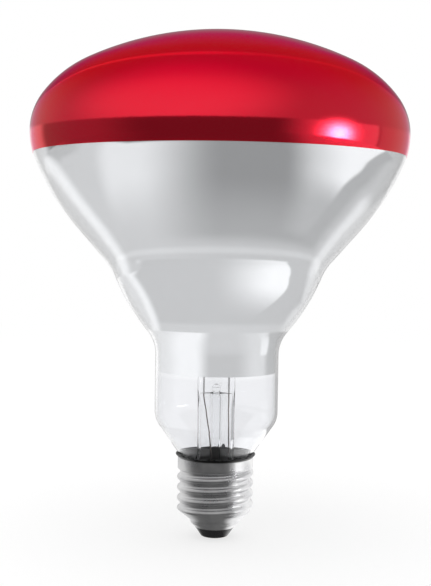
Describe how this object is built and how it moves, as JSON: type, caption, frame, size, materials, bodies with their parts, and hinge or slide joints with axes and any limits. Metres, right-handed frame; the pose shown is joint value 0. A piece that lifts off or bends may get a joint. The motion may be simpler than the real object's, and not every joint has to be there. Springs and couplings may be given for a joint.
{
  "type": "infrared heat lamp bulb",
  "caption": "Reflector heat lamp bulb: domed red front, mirrored glass bowl that narrows to a clear neck, glass stem with filament, and an E27 screw cap.",
  "frame": {"origin": "middle of the centre contact's end face, the lowest point of the cap", "axes": "+Z along the lamp's axis from the cap to the red front, -Y towards the viewer of the picture"},
  "size_m": [0.127, 0.127, 0.1706],
  "materials": {
    "clear_glass": "clear blown soda-lime glass",
    "mirror_film": "vacuum-deposited aluminium film",
    "red_lacquer": "glossy red lacquer",
    "copper_wire": "oxidised copper",
    "nickel_wire": "drawn nickel",
    "tungsten": "coiled tungsten",
    "support_wire": "molybdenum wire",
    "cap_metal": "nickel-plated brass sheet",
    "black_glass": "opaque black glass",
    "contact_brass": "dull brass",
    "cement": "dark baked cement",
    "solder": "dull solder"
  },
  "bodies": {
    "root": {"glass_bulb": "clear_glass", "mirror_coat": "mirror_film", "red_front_coat": "red_lacquer", "glass_stem": "clear_glass", "exhaust_tube": "clear_glass", "glass_arbor": "clear_glass", "seal_wire_left": "copper_wire", "seal_wire_right": "copper_wire", "inner_lead_left": "nickel_wire", "inner_lead_right": "nickel_wire", "centre_lead": "copper_wire", "shell_lead": "copper_wire", "filament": "tungsten", "support_wire_1": "support_wire", "support_wire_2": "support_wire", "support_wire_3": "support_wire", "support_wire_4": "support_wire", "cap_shell": "cap_metal", "cap_insulator": "black_glass", "centre_contact": "contact_brass", "basing_cement": "cement", "contact_solder": "solder", "lip_solder": "solder"}
  },
  "joints": []
}
